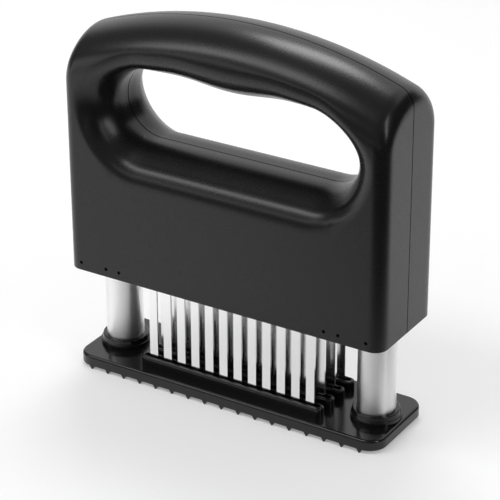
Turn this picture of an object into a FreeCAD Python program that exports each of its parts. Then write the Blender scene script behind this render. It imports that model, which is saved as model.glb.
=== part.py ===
import FreeCAD, Part
import math
import os

import Sketcher

# Blade meat tenderizer. A hollow two-piece handle rides down two sprung columns and pushes four rows of
# flat blades through the guide channels of a toothed base plate.
# Millimetres. X runs along the handle, -Y is the front, Z is up, and Z = 0 is the tips of the base teeth.

SIZES = {
    # base plate
    "plate_setback": 0.95,
    "plate_corner": 7.5,
    "plate_edge_round": 1.2,
    "plate_height": 4.4,
    "plate_skin": 2.4,
    "plate_rim": 2.0,
    "tooth_height": 1.6,
    "tooth_width": 2.4,
    "tooth_tip": 0.5,
    "tooth_end_room": 8.05,
    "tooth_count": 17,
    # guide channels on the plate
    "channel_height": 4.2,
    "channel_edge_round": 0.9,
    "channel_wall": 1.2,
    "channel_gap": 2.6,
    "channel_end_room": 2.8,
    # columns
    "column_to_end": 12.65,
    "tube_radius": 7.85,
    "tube_wall": 0.8,
    "tube_top": 68.0,
    "collar_wall": 1.75,
    "collar_height": 4.0,
    "collar_step": 1.0,
    "collar_step_height": 1.6,
    "collar_edge_round": 0.6,
    "plug_height": 6.0,
    "ring_thickness": 2.6,
    "ring_reach": 1.45,
    "ring_groove": 0.4,
    "ring_to_tube_top": 0.8,
    "foot_screw_radius": 2.0,
    "foot_screw_length": 7.0,
    "foot_screw_head_radius": 3.8,
    "foot_screw_head_height": 2.0,
    # springs and the rods that push them
    "spring_wire_radius": 0.7,
    "spring_turns": 6,
    "spring_room": 0.75,
    "rod_radius": 3.0,
    "rod_head_radius": 4.8,
    "rod_head_height": 2.5,
    "rod_seat_height": 2.0,
    "rod_seat_below_top": 8.0,
    "rod_nose_radius": 4.2,
    "rod_nose_length": 6.0,
    # handle body
    "body_length": 146.0,
    "body_depth": 42.5,
    "body_bottom": 46.4,
    "body_wall": 2.2,
    "body_edge_round": 5.5,
    "arch_top": 160.1,
    "arch_radius": 195.0,
    "crown_height": 17.0,
    "crown_side_radius": 14.0,
    "seam_gap": 0.2,
    "press_travel": 35.0,
    # grip opening
    "grip_floor": 103.5,
    "grip_to_top": 25.3,
    "grip_to_end": 18.8,
    "grip_hump": 1.9,
    "grip_hump_half": 27.0,
    "scoop_drop": 7.7,
    "scoop_rise": 10.0,
    "scoop_edge_round": 6.5,
    "scoop_wall": 3.4,
    # what the handle carries
    "bushing_wall": 1.45,
    "bushing_top": 64.5,
    "flange_reach": 0.8,
    "flange_bottom": 54.1,
    "flange_height": 2.8,
    "rib_thickness": 2.0,
    "rod_rib_bottom": 104.0,
    "boss_radius": 4.4,
    "lower_boss_x": 30.0,
    "lower_boss_z": 82.0,
    "upper_boss_to_end": 10.5,
    "upper_boss_to_top": 23.6,
    "shell_screw_radius": 1.5,
    "shell_screw_head_radius": 2.9,
    "shell_screw_head_height": 2.2,
    "shell_screw_head_y": 12.0,
    "shell_screw_length": 20.0,
    "pin_radius": 0.7,
    "pin_rise": 3.4,
    "pin_recess": 1.25,
    "pin_side_offset": 6.1,
    "pin_bite": 1.0,
    "carrier_pin_to_end": 1.7,
    "carrier_pin_bite": 3.0,
    # blades and their carrier
    "blade_width": 3.8,
    "blade_thickness": 0.8,
    "blade_end_room": 12.3,
    "blade_count": 12,
    "blade_tip_z": 8.0,
    "blade_point_height": 1.4,
    "blade_point_width": 1.0,
    "blade_head_width": 5.2,
    "blade_head_height": 3.0,
    "row_edge_room": 6.1,
    "row_count": 4,
    "carrier_to_column": 10.75,
    "carrier_to_wall": 0.55,
    "carrier_thickness": 4.3,
    "carrier_window_inset": 3.6,
    "carrier_post_length": 4.6,
    "clamp_setback": 2.6,
    "clamp_width": 5.0,
    "clamp_thickness": 2.5,
    "clamp_screw_to_end": 2.6,
    "clamp_screw_radius": 1.2,
    "clamp_screw_head_radius": 2.1,
    "clamp_screw_head_height": 1.3,
    "clamp_screw_length": 8.0,
    # clearances
    "face_gap": 0.1,
    "running_gap": 0.08,
    "side_gap": 0.15,
    "loose_gap": 0.4,
}

# How far the scoop has opened, as a share of its full flare, at shares of the way from seam to face.
SCOOP_PROFILE = ((0.0, 0.0), (0.24, 0.04), (0.42, 0.18), (0.61, 0.47), (0.8, 0.8), (0.94, 0.97), (1.05, 1.02))

LEFT = -1
RIGHT = 1
ROW_NAMES = ("front", "front_middle", "rear_middle", "rear")

document = FreeCAD.newDocument("Tenderizer")
sheet = document.addObject("Spreadsheet::Sheet", "Sizes")
for row, (alias, number) in enumerate(SIZES.items(), 1):
    sheet.set(f"A{row}", alias)
    sheet.set(f"B{row}", str(number))
    sheet.setAlias(f"B{row}", alias)
document.recompute()


class Size:
    """A number together with the spreadsheet expression that gives it."""

    def __init__(self, number, text=None):
        self.number = float(number)
        self.text = repr(number) if text is None else text

    def _join(self, other, sign, number):
        return Size(number, f"({self.text} {sign} {sized(other).text})")

    def __add__(self, other):
        return self._join(other, "+", self.number + sized(other).number)

    def __sub__(self, other):
        return self._join(other, "-", self.number - sized(other).number)

    def __mul__(self, other):
        return self._join(other, "*", self.number * sized(other).number)

    def __truediv__(self, other):
        return self._join(other, "/", self.number / sized(other).number)

    def __neg__(self):
        return Size(-self.number, f"(-1 * {self.text})")

    def root(self):
        return Size(math.sqrt(self.number), f"sqrt({self.text})")


def sized(value):
    return value if isinstance(value, Size) else Size(value)


def size(alias):
    return Size(float(sheet.get(alias)), f"Sizes.{alias}")


ZERO = Size(0)


def bind(item, **properties):
    for path, value in properties.items():
        item.setExpression(path.replace("__", "."), sized(value).text)


def place(item, x=ZERO, y=ZERO, z=ZERO):
    bind(item, Placement__Base__x=x, Placement__Base__y=y, Placement__Base__z=z)
    return item


# ---- sketches ----

def origin_item(body, role):
    return [item for item in body.Origin.OriginFeatures if item.Role == role][0]


def new_sketch(body, name, plane, lift=ZERO):
    sketch = body.newObject("Sketcher::SketchObject", name)
    sketch.AttachmentSupport = [(origin_item(body, plane), "")]
    sketch.MapMode = "FlatFace"
    bind(sketch, AttachmentOffset__Base__z=lift)
    return sketch


def flat(point):
    return FreeCAD.Vector(sized(point[0]).number, sized(point[1]).number, 0)


def fix_along(sketch, kind, edge, end, value):
    index = sketch.addConstraint(Sketcher.Constraint(kind, -1, 1, edge, end, sized(value).number))
    sketch.setExpression(f"Constraints[{index}]", sized(value).text)


def fix_point(sketch, edge, end, point):
    fix_along(sketch, "DistanceX", edge, end, point[0])
    fix_along(sketch, "DistanceY", edge, end, point[1])


def join(sketch, edges):
    """Run each edge's end into the next edge's start, round to the first."""
    for here, edge in enumerate(edges):
        after = edges[(here + 1) % len(edges)]
        sketch.addConstraint(Sketcher.Constraint("Coincident", edge, 2, after, 1))


def add_line(sketch, start, end):
    return sketch.addGeometry(Part.LineSegment(flat(start), flat(end)), False)


def add_arc(sketch, centre, start, end):
    """An arc from start to end, counter-clockwise about its centre."""
    middle = flat(centre)
    first = flat(start) - middle
    last = flat(end) - middle
    angles = (math.atan2(first.y, first.x), math.atan2(last.y, last.x))
    circle = Part.Circle(middle, FreeCAD.Vector(0, 0, 1), first.Length)
    sweep = (angles[1] - angles[0]) % (2 * math.pi)
    return sketch.addGeometry(Part.ArcOfCircle(circle, angles[0], angles[0] + sweep), False)


def draw_polygon(sketch, points):
    edges = []
    for here, point in enumerate(points):
        edges.append(add_line(sketch, point, points[(here + 1) % len(points)]))
    join(sketch, edges)
    for edge, point in zip(edges, points):
        fix_point(sketch, edge, 1, point)


def draw_box(sketch, half_x, half_y, x=ZERO, y=ZERO):
    draw_polygon(sketch, ((x - half_x, y - half_y), (x + half_x, y - half_y),
                          (x + half_x, y + half_y), (x - half_x, y + half_y)))


def draw_rounded_box(sketch, half_x, half_y, radius):
    inner_x = half_x - radius
    inner_y = half_y - radius
    sides = (((half_x, -inner_y), (half_x, inner_y)), ((inner_x, half_y), (-inner_x, half_y)),
             ((-half_x, inner_y), (-half_x, -inner_y)), ((-inner_x, -half_y), (inner_x, -half_y)))
    centres = ((inner_x, inner_y), (-inner_x, inner_y), (-inner_x, -inner_y), (inner_x, -inner_y))
    edges = []
    for here, (start, end) in enumerate(sides):
        line = add_line(sketch, start, end)
        arc = add_arc(sketch, centres[here], end, sides[(here + 1) % 4][0])
        edges.extend((line, arc))
        fix_point(sketch, line, 1, start)
        fix_point(sketch, line, 2, end)
        fix_along(sketch, "DistanceX", arc, 3, centres[here][0])
    join(sketch, edges)


def draw_circle(sketch, radius, x=ZERO, y=ZERO):
    edge = sketch.addGeometry(Part.Circle(flat((x, y)), FreeCAD.Vector(0, 0, 1), sized(radius).number), False)
    index = sketch.addConstraint(Sketcher.Constraint("Radius", edge, sized(radius).number))
    sketch.setExpression(f"Constraints[{index}]", sized(radius).text)
    fix_point(sketch, edge, 3, (x, y))


def draw_hexagon(sketch, radius, x=ZERO, y=ZERO):
    corners = []
    for step in range(6):
        angle = math.radians(60 * step)
        corners.append((x + radius * round(math.cos(angle), 6), y + radius * round(math.sin(angle), 6)))
    draw_polygon(sketch, corners)


def draw_stadium(sketch, half_length, radius, y=ZERO):
    straight = half_length - radius
    corners = ((straight, y - radius), (straight, y + radius), (-straight, y + radius), (-straight, y - radius))
    right = add_arc(sketch, (straight, y), corners[0], corners[1])
    top = add_line(sketch, corners[1], corners[2])
    left = add_arc(sketch, (-straight, y), corners[2], corners[3])
    bottom = add_line(sketch, corners[3], corners[0])
    join(sketch, (right, top, left, bottom))
    fix_point(sketch, top, 1, corners[1])
    fix_point(sketch, top, 2, corners[2])
    fix_point(sketch, bottom, 1, corners[3])
    fix_point(sketch, bottom, 2, corners[0])
    fix_along(sketch, "DistanceX", right, 3, straight)
    fix_along(sketch, "DistanceX", left, 3, -straight)


def draw_grip(sketch, share, grow):
    """The grip opening part of the way from the seam to the face: flat floor, round ends, dipped roof."""
    floor = size("grip_floor") - size("scoop_drop") * share - grow
    roof = size("arch_top") - size("grip_to_top") + size("scoop_rise") * share + grow
    end_radius = (roof - floor) / 2
    straight = half_length - size("grip_to_end") + size("scoop_drop") * share + grow - end_radius
    hump = size("grip_hump_half")
    dip = size("grip_hump")
    turn = roof - dip / 2
    swing = (hump * hump / 4 + dip * dip / 4) / dip
    floor_line = add_line(sketch, (-straight, floor), (straight, floor))
    right = add_arc(sketch, (straight, floor + end_radius), (straight, floor), (straight, roof))
    right_flat = add_line(sketch, (straight, roof), (hump, roof))
    right_turn = add_arc(sketch, (hump, roof - swing), (hump, roof), (hump / 2, turn))
    middle = add_arc(sketch, (ZERO, roof - dip + swing), (-hump / 2, turn), (hump / 2, turn))
    left_turn = add_arc(sketch, (-hump, roof - swing), (-hump / 2, turn), (-hump, roof))
    left_flat = add_line(sketch, (-hump, roof), (-straight, roof))
    left = add_arc(sketch, (-straight, floor + end_radius), (-straight, roof), (-straight, floor))
    for first, first_end, second, second_end in (
            (floor_line, 2, right, 1), (right, 2, right_flat, 1), (right_flat, 2, right_turn, 1),
            (right_turn, 2, middle, 2), (middle, 1, left_turn, 1), (left_turn, 2, left_flat, 1),
            (left_flat, 2, left, 1), (left, 2, floor_line, 1)):
        sketch.addConstraint(Sketcher.Constraint("Coincident", first, first_end, second, second_end))
    fix_point(sketch, floor_line, 1, (-straight, floor))
    fix_point(sketch, floor_line, 2, (straight, floor))
    fix_point(sketch, right_flat, 1, (straight, roof))
    fix_point(sketch, right_flat, 2, (hump, roof))
    fix_point(sketch, right_turn, 2, (hump / 2, turn))
    fix_point(sketch, left_turn, 1, (-hump / 2, turn))
    fix_point(sketch, left_flat, 1, (-hump, roof))
    fix_point(sketch, left_flat, 2, (-straight, roof))
    fix_along(sketch, "DistanceX", right, 3, straight)
    fix_along(sketch, "DistanceX", left, 3, -straight)
    fix_along(sketch, "DistanceX", right_turn, 3, hump)
    fix_along(sketch, "DistanceX", left_turn, 3, -hump)
    fix_along(sketch, "DistanceY", middle, 3, roof - dip + swing)


# ---- features ----

def new_body(name):
    body = document.addObject("PartDesign::Body", name)
    body.Label = name
    return body


def new_feature(body, kind, name, **properties):
    feature = body.newObject(f"PartDesign::{kind}", name)
    for key, value in properties.items():
        setattr(feature, key, value)
    return feature


def pad(body, sketch, length, **properties):
    feature = new_feature(body, "Pad", sketch.Name + "Pad", Profile=sketch, **properties)
    bind(feature, Length=length)
    return feature


def pocket(body, sketch, length, **properties):
    feature = new_feature(body, "Pocket", sketch.Name + "Pocket", Profile=sketch, **properties)
    bind(feature, Length=length)
    return feature


def repeat(body, originals, name, along_x, along_y=None):
    """Copy features along X, and along Y too when a second count and spacing are given."""
    pattern = new_feature(body, "LinearPattern", name, Originals=list(originals))
    pattern.Direction = (origin_item(body, "X_Axis"), [""])
    pattern.Mode = "Spacing"
    bind(pattern, Occurrences=along_x[0], Offset=along_x[1])
    if along_y is not None:
        pattern.Direction2 = (origin_item(body, "Y_Axis"), [""])
        pattern.Mode2 = "Spacing"
        pattern.Spacings2 = [-1.0]
        bind(pattern, Occurrences2=along_y[0], Offset2=along_y[1])
    body.Tip = pattern
    return pattern


def round_edges(body, base, radius, wanted, name):
    """Fillet every edge of the feature that the test picks out."""
    document.recompute()
    names = [f"Edge{number}" for number, edge in enumerate(base.Shape.Edges, 1) if wanted(edge)]
    feature = new_feature(body, "Fillet", name, Base=(base, names))
    bind(feature, Radius=radius)
    return feature


def lies_at(height):
    level = height.number
    return lambda edge: abs(edge.BoundBox.ZMin - level) < 0.001 and abs(edge.BoundBox.ZMax - level) < 0.001


def turn_profile(body, name, points):
    sketch = new_sketch(body, name, "XZ_Plane")
    draw_polygon(sketch, points)
    turn = new_feature(body, "Revolution", name + "Turn", Profile=sketch, ReferenceAxis=(sketch, ["V_Axis"]))
    turn.Angle = 360
    return turn


def cylinder(name, radius, height, x, y, z, along_y=False):
    item = document.addObject("Part::Cylinder", name)
    bind(item, Radius=radius, Height=height)
    if along_y:
        item.Placement.Rotation = FreeCAD.Rotation(FreeCAD.Vector(1, 0, 0), -90)
    return place(item, x, y, z)


def block(name, length, width, height, x, y, z):
    item = document.addObject("Part::Box", name)
    bind(item, Length=length, Width=width, Height=height)
    return place(item, x, y, z)


def cut(name, base, tool):
    item = document.addObject("Part::Cut", name)
    item.Base = base
    item.Tool = tool
    return item


def common(name, first, second):
    item = document.addObject("Part::MultiCommon", name)
    item.Shapes = [first, second]
    return item


def fuse(name, items):
    item = document.addObject("Part::MultiFuse", name)
    item.Shapes = list(items)
    return item


def group(name, items):
    item = document.addObject("Part::Compound", name)
    item.Links = list(items)
    return item


# ---- heights and places that several pieces share ----

half_depth = size("body_depth") / 2
half_length = size("body_length") / 2
wall = size("body_wall")
floor_top = size("body_bottom") + wall

plate_half_length = half_length - size("plate_setback")
plate_half_depth = half_depth - size("plate_setback")
plate_bottom = size("tooth_height")
plate_top = plate_bottom + size("plate_height")
plate_ceiling = plate_top - size("plate_skin")
tooth_pitch = (plate_half_length - size("tooth_end_room")) * 2 / (size("tooth_count") - 1)

column_x = half_length - size("column_to_end")
tube_inner = size("tube_radius") - size("tube_wall")
tube_foot = plate_top + size("face_gap") / 2
plug_top = tube_foot + size("plug_height")
ring_top = size("tube_top") - size("ring_to_tube_top")
ring_bottom = ring_top - size("ring_thickness")
ring_radius = size("tube_radius") + size("ring_reach")
bushing_bore = size("tube_radius") + size("running_gap")
bushing_radius = bushing_bore + size("bushing_wall")
pin_z = size("body_bottom") + size("pin_rise")
bushing_edge_y = (bushing_radius * bushing_radius - size("pin_side_offset") * size("pin_side_offset")).root()
rod_head_bottom = size("rod_rib_bottom") + size("rib_thickness") + size("face_gap") / 2
rod_head_top = rod_head_bottom + size("rod_head_height")
rod_seat_bottom = size("tube_top") - size("rod_seat_below_top")
spring_radius = tube_inner - size("spring_room") - size("spring_wire_radius")

carrier_half_length = column_x - size("carrier_to_column")
carrier_half_depth = half_depth - wall - size("carrier_to_wall")
carrier_bottom = floor_top + size("face_gap")
carrier_top = carrier_bottom + size("carrier_thickness")
rib_inner_end = carrier_half_length + size("loose_gap")
clamp_bottom = carrier_top + size("blade_head_height")
clamp_half_length = carrier_half_length - size("clamp_setback")
clamp_screw_x = clamp_half_length - size("clamp_screw_to_end")
first_blade_x = size("blade_end_room") - carrier_half_length
blade_pitch = -first_blade_x * 2 / (size("blade_count") - 1)
channel_half_width = size("channel_gap") / 2 + size("channel_wall")
channel_half_length = size("blade_width") / 2 + size("channel_end_room") - first_blade_x
first_row_y = size("row_edge_room") - carrier_half_depth
row_pitch = -first_row_y * 2 / (size("row_count") - 1)
row_y = []
for number in range(SIZES["row_count"]):
    row_y.append(first_row_y + row_pitch * number)
boss_spots = (
    ("Lower", size("lower_boss_x"), size("lower_boss_z")),
    ("Upper", half_length - size("upper_boss_to_end"), size("arch_top") - size("upper_boss_to_top")),
)


# ---- base ----

def make_base_plate():
    body = new_body("base_plate")
    outline = new_sketch(body, "PlateOutline", "XY_Plane", plate_bottom)
    draw_rounded_box(outline, plate_half_length, plate_half_depth, size("plate_corner"))
    slab = pad(body, outline, size("plate_height"))
    round_edges(body, slab, size("plate_edge_round"), lies_at(plate_top), "PlateTopEdge")
    hollow = new_sketch(body, "PlateHollow", "XY_Plane", plate_bottom)
    draw_rounded_box(hollow, plate_half_length - size("plate_rim"), plate_half_depth - size("plate_rim"),
                     size("plate_corner") - size("plate_rim"))
    pocket(body, hollow, plate_ceiling - plate_bottom, Reversed=True)

    collars = (
        ("CollarSteps", bushing_radius + size("collar_step"), plate_top + size("collar_step_height")),
        ("Collars", size("tube_radius") + size("collar_wall"), plate_top + size("collar_height")),
    )
    for name, radius, top in collars:
        sketch = new_sketch(body, name, "XY_Plane", plate_ceiling)
        for side in (LEFT, RIGHT):
            draw_circle(sketch, radius, column_x * side)
        collar = pad(body, sketch, top - plate_ceiling)
    round_edges(body, collar, size("collar_edge_round"), lies_at(plate_top + size("collar_height")), "CollarEdges")

    walls = new_sketch(body, "ChannelWalls", "XY_Plane", plate_ceiling)
    for y in row_y:
        draw_stadium(walls, channel_half_length + size("channel_wall"), channel_half_width, y)
    wall_pad = pad(body, walls, plate_top + size("channel_height") - plate_ceiling)
    at_wall_top = lies_at(plate_top + size("channel_height"))
    collar_side = column_x.number - SIZES["tube_radius"]
    round_edges(body, wall_pad, size("channel_edge_round"),
                lambda edge: at_wall_top(edge) and abs(edge.CenterOfMass.x) < collar_side, "ChannelEdges")
    slots = new_sketch(body, "ChannelSlots", "XY_Plane", plate_bottom)
    for y in row_y:
        draw_stadium(slots, channel_half_length, size("channel_gap") / 2, y)
    pocket(body, slots, size("plate_height") + size("channel_height"), Reversed=True)

    sockets = new_sketch(body, "ColumnSockets", "XY_Plane", plate_top)
    holes = new_sketch(body, "FootScrewHoles", "XY_Plane", plate_bottom)
    for side in (LEFT, RIGHT):
        draw_circle(sockets, size("tube_radius") + size("running_gap"), column_x * side)
        draw_circle(holes, size("foot_screw_radius") + size("side_gap"), column_x * side)
    pocket(body, sockets, size("collar_height"), Reversed=True)
    pocket(body, holes, size("plate_height"), Reversed=True)

    tooth = new_sketch(body, "Tooth", "XZ_Plane", plate_half_depth - size("plate_rim"))
    first_x = size("tooth_end_room") - plate_half_length
    root = plate_bottom + size("plate_rim") / 2
    draw_polygon(tooth, ((first_x - size("tooth_width") / 2, plate_bottom),
                         (first_x - size("tooth_tip") / 2, ZERO),
                         (first_x + size("tooth_tip") / 2, ZERO),
                         (first_x + size("tooth_width") / 2, plate_bottom),
                         (first_x + size("tooth_width") / 2, root),
                         (first_x - size("tooth_width") / 2, root)))
    first_tooth = pad(body, tooth, size("plate_rim"))
    repeat(body, [first_tooth], "Teeth", (size("tooth_count"), tooth_pitch),
           (Size(2), plate_half_depth * 2 - size("plate_rim")))
    return body


def make_column_tube(name, x):
    body = new_body(name)
    groove = size("tube_radius") - size("ring_groove")
    lip = size("tube_wall") / 4
    turn_profile(body, name + "Profile", (
        (tube_inner, tube_foot), (size("tube_radius"), tube_foot),
        (size("tube_radius"), ring_bottom), (groove, ring_bottom),
        (groove, ring_top), (size("tube_radius"), ring_top),
        (size("tube_radius"), size("tube_top") - lip), (size("tube_radius") - lip, size("tube_top")),
        (tube_inner, size("tube_top"))))
    return place(body, x)


def make_foot_plug(name, x):
    body = new_body(name)
    bore = size("foot_screw_radius") + size("running_gap")
    rim = tube_inner - size("running_gap")
    bevel = size("plug_height") / 10
    turn_profile(body, name + "Profile", (
        (bore, tube_foot), (rim, tube_foot), (rim, plug_top - bevel), (rim - bevel, plug_top), (bore, plug_top)))
    return place(body, x)


def make_stop_ring(name, x):
    body = new_body(name)
    bore = size("tube_radius") - size("ring_groove") + size("running_gap") / 2
    bevel = size("ring_thickness") / 6
    turn_profile(body, name + "Profile", (
        (bore, ring_bottom), (ring_radius - bevel, ring_bottom), (ring_radius, ring_bottom + bevel),
        (ring_radius, ring_top - bevel), (ring_radius - bevel, ring_top), (bore, ring_top)))
    split = new_sketch(body, name + "Split", "XY_Plane", ring_bottom)
    draw_box(split, size("ring_thickness") / 2, size("tube_radius"), ZERO, size("tube_radius") + size("ring_reach"))
    pocket(body, split, size("ring_thickness"), Reversed=True)
    return place(body, x)


def make_spring(name, x):
    body = new_body(name)
    foot = plug_top + size("spring_wire_radius") + size("face_gap") / 2
    head = rod_seat_bottom - size("spring_wire_radius") - size("face_gap") / 2
    wire = new_sketch(body, name + "Wire", "XZ_Plane")
    draw_hexagon(wire, size("spring_wire_radius"), spring_radius, foot)
    coil = new_feature(body, "AdditiveHelix", name + "Coil", Profile=wire, ReferenceAxis=(wire, ["V_Axis"]))
    coil.Mode = "height-turns-angle"
    bind(coil, Height=head - foot, Turns=size("spring_turns"))
    return place(body, x)


def make_screw(name, shaft_radius, length, head_radius, head_height, copies):
    """A socket-head screw standing on its tip, copied along X and perhaps Y."""
    body = new_body(name)
    tip = shaft_radius / 3
    brow = head_height / 4
    turned = turn_profile(body, name + "Profile", (
        (ZERO, ZERO), (shaft_radius - tip, ZERO), (shaft_radius, tip), (shaft_radius, length),
        (head_radius, length), (head_radius, length + head_height - brow),
        (head_radius - brow, length + head_height), (ZERO, length + head_height)))
    socket = new_sketch(body, name + "Socket", "XY_Plane", length + head_height)
    draw_hexagon(socket, head_radius / 2)
    socket_pocket = pocket(body, socket, head_height / 2)
    repeat(body, [turned, socket_pocket], name + "Copies", *copies)
    return body


def make_foot_screws():
    body = make_screw("foot_screws", size("foot_screw_radius"), size("foot_screw_length"),
                      size("foot_screw_head_radius"), size("foot_screw_head_height"),
                      [(Size(2), column_x * 2)])
    body.Placement.Rotation = FreeCAD.Rotation(FreeCAD.Vector(1, 0, 0), 180)
    return place(body, -column_x, ZERO, plate_ceiling - size("face_gap") / 2 + size("foot_screw_length"))


# ---- handle body ----

def make_rounded_shape(name, inset):
    """The handle's outside, or its inside when inset by the wall: arched top, crowned section, rounded ends."""
    body = new_body(name)
    bottom = size("body_bottom") + inset
    top = size("arch_top") - inset
    half_x = half_length - inset
    half_y = half_depth - inset
    spring_line = size("arch_top") - size("crown_height")
    front = new_sketch(body, name + "Front", "XZ_Plane")
    draw_polygon(front, ((-half_x, bottom), (half_x, bottom), (half_x, top), (-half_x, top)))
    slab = pad(body, front, half_y * 2, SideType="Symmetric")

    side_radius = size("crown_side_radius") - inset
    rise = size("crown_height") - inset
    side_x = size("body_depth") / 2 - size("crown_side_radius")
    top_radius = (side_x * side_x + rise * rise - side_radius * side_radius) / ((rise - side_radius) * 2)
    stretch = top_radius / (top_radius - side_radius)
    meet_x = side_x * stretch
    meet_z = top - top_radius + (top_radius - rise) * stretch
    clear_x = size("body_depth")
    clear_z = size("arch_top") + size("body_depth")
    section = new_sketch(body, name + "Section", "YZ_Plane")
    right = add_arc(section, (side_x, spring_line), (half_y, spring_line), (meet_x, meet_z))
    crown = add_arc(section, (ZERO, top - top_radius), (meet_x, meet_z), (-meet_x, meet_z))
    left = add_arc(section, (-side_x, spring_line), (-meet_x, meet_z), (-half_y, spring_line))
    loop = ((-half_y, spring_line), (-clear_x, spring_line), (-clear_x, clear_z), (clear_x, clear_z),
            (clear_x, spring_line), (half_y, spring_line))
    lines = []
    for start, end in zip(loop, loop[1:]):
        lines.append(add_line(section, start, end))
    join(section, [right, crown, left] + lines)
    for line, start in zip(lines, loop):
        fix_point(section, line, 1, start)
    fix_point(section, right, 1, (half_y, spring_line))
    fix_point(section, crown, 1, (meet_x, meet_z))
    fix_point(section, crown, 2, (-meet_x, meet_z))
    fix_along(section, "DistanceX", right, 3, side_x)
    fix_along(section, "DistanceX", left, 3, -side_x)
    fix_along(section, "DistanceY", crown, 3, top - top_radius)
    axle = section.addGeometry(Part.LineSegment(flat((-1, top - top_radius)), flat((1, top - top_radius))), True)
    pivot = size("arch_top") - size("arch_radius")
    fix_point(section, axle, 1, (Size(-1), pivot))
    fix_point(section, axle, 2, (Size(1), pivot))
    crowned = new_feature(body, "Groove", name + "Crown", Profile=section, ReferenceAxis=(section, ["Axis0"]))
    crowned.Angle = 60
    crowned.Midplane = True

    def on_end(edge):
        box = edge.BoundBox
        at_end = box.XLength < 0.001 and abs(abs(box.XMin) - half_x.number) < 0.001
        return at_end and box.ZMax > bottom.number + 0.001

    round_edges(body, crowned, size("body_edge_round") - inset, on_end, name + "Ends")
    return body


def add_scoop(body, kind, name, grow):
    """The front half of the grip opening, lofted from the seam out past the front face."""
    sections = []
    for number, (way, share) in enumerate(SCOOP_PROFILE):
        sketch = new_sketch(body, f"{name}Section{number}", "XZ_Plane", half_depth * way)
        draw_grip(sketch, share, grow)
        sections.append(sketch)
    return new_feature(body, kind, name + "Loft", Profile=sections[0], Sections=sections[1:])


def make_outside():
    """The whole handle's outside, with the scoop cut into its front and the scoop's rim rounded."""
    body = make_rounded_shape("Outside", ZERO)
    scooped = add_scoop(body, "SubtractiveLoft", "Scoop", ZERO)
    seam_side = -half_depth.number / 2
    end_side = (half_length - size("body_edge_round") * 1.2).number
    lowest = ((size("body_bottom") + size("grip_floor")) / 2).number
    highest = (size("arch_top") - size("crown_height") / 2).number

    def on_rim(edge):
        box = edge.BoundBox
        level = lowest < box.ZMin and box.ZMax < highest
        return level and box.YMax < seam_side and -end_side < box.XMin and box.XMax < end_side

    round_edges(body, scooped, size("scoop_edge_round"), on_rim, "ScoopRim")
    return body


def make_scoop_wall():
    body = new_body("ScoopWall")
    add_scoop(body, "AdditiveLoft", "ScoopWall", size("scoop_wall"))
    return body


def past_wall():
    return half_depth * 2


def front_column(name, radius, x, z, inner_y, outer_y):
    """A cylinder along Y between two distances in front of the seam."""
    return cylinder(name, radius, outer_y - inner_y, x, -outer_y, z, True)


def make_front_blank():
    outside = make_outside()
    inside = make_rounded_shape("Inside", wall)
    reach = past_wall()
    front_half = block("FrontHalf", half_length * 4, reach, size("arch_top") * 2,
                       -half_length * 2, -reach - size("seam_gap") / 2, ZERO)
    outer_half = common("OuterHalf", outside, front_half)
    skin = cut("Skin", outer_half, inside)

    stock = [make_scoop_wall()]
    cutters = []
    bushing_holes = []
    slot_radius = bushing_radius + size("side_gap")
    for side, word in ((LEFT, "Left"), (RIGHT, "Right")):
        x = column_x * side
        span = half_length - rib_inner_end
        inner = rib_inner_end if side == RIGHT else -half_length
        ribs = (
            ("LowerYoke", size("flange_bottom") - size("face_gap") - size("rib_thickness")),
            ("UpperYoke", size("flange_bottom") + size("flange_height") + size("face_gap")),
            ("RodRib", size("rod_rib_bottom")),
            ("RodShelf", rod_head_top + size("face_gap")),
        )
        for rib, z in ribs:
            stock.append(block(rib + word, span, reach, size("rib_thickness"), inner, -reach, z))
        for spot, boss_x, boss_z in boss_spots:
            stock.append(front_column(spot + "Boss" + word, size("boss_radius"), boss_x * side, boss_z, ZERO, reach))
        yoke_top = size("flange_bottom") + size("flange_height") + size("rib_thickness") * 2
        bushing_holes.append(cylinder("BushingHole" + word, slot_radius, yoke_top, x, ZERO, ZERO))
        cutters.append(cylinder("RodNotch" + word, size("rod_radius") + size("side_gap"),
                                size("rib_thickness") * 2, x, ZERO,
                                size("rod_rib_bottom") - size("rib_thickness") / 2))
    ledge_depth = half_depth - carrier_half_depth + size("carrier_window_inset") / 2
    ledge_half = carrier_half_length - size("carrier_window_inset")
    stock.append(block("CarrierLedge", ledge_half * 2, ledge_depth, size("rib_thickness"),
                       -ledge_half, -half_depth, carrier_top + size("face_gap")))
    window_x = carrier_half_length - size("carrier_window_inset")
    window_y = carrier_half_depth - size("carrier_window_inset")
    cutters.append(block("CarrierWindow", window_x * 2, window_y * 2, wall * 3, -window_x, -window_y,
                         size("body_bottom") - wall))

    inserts = common("Inserts", fuse("InsertStock", stock), outer_half)
    blank = cut("FrontBlank", fuse("FrontSolid", [skin, inserts]), fuse("BlankCutters", cutters + bushing_holes))
    return blank, outer_half, bushing_holes


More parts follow.
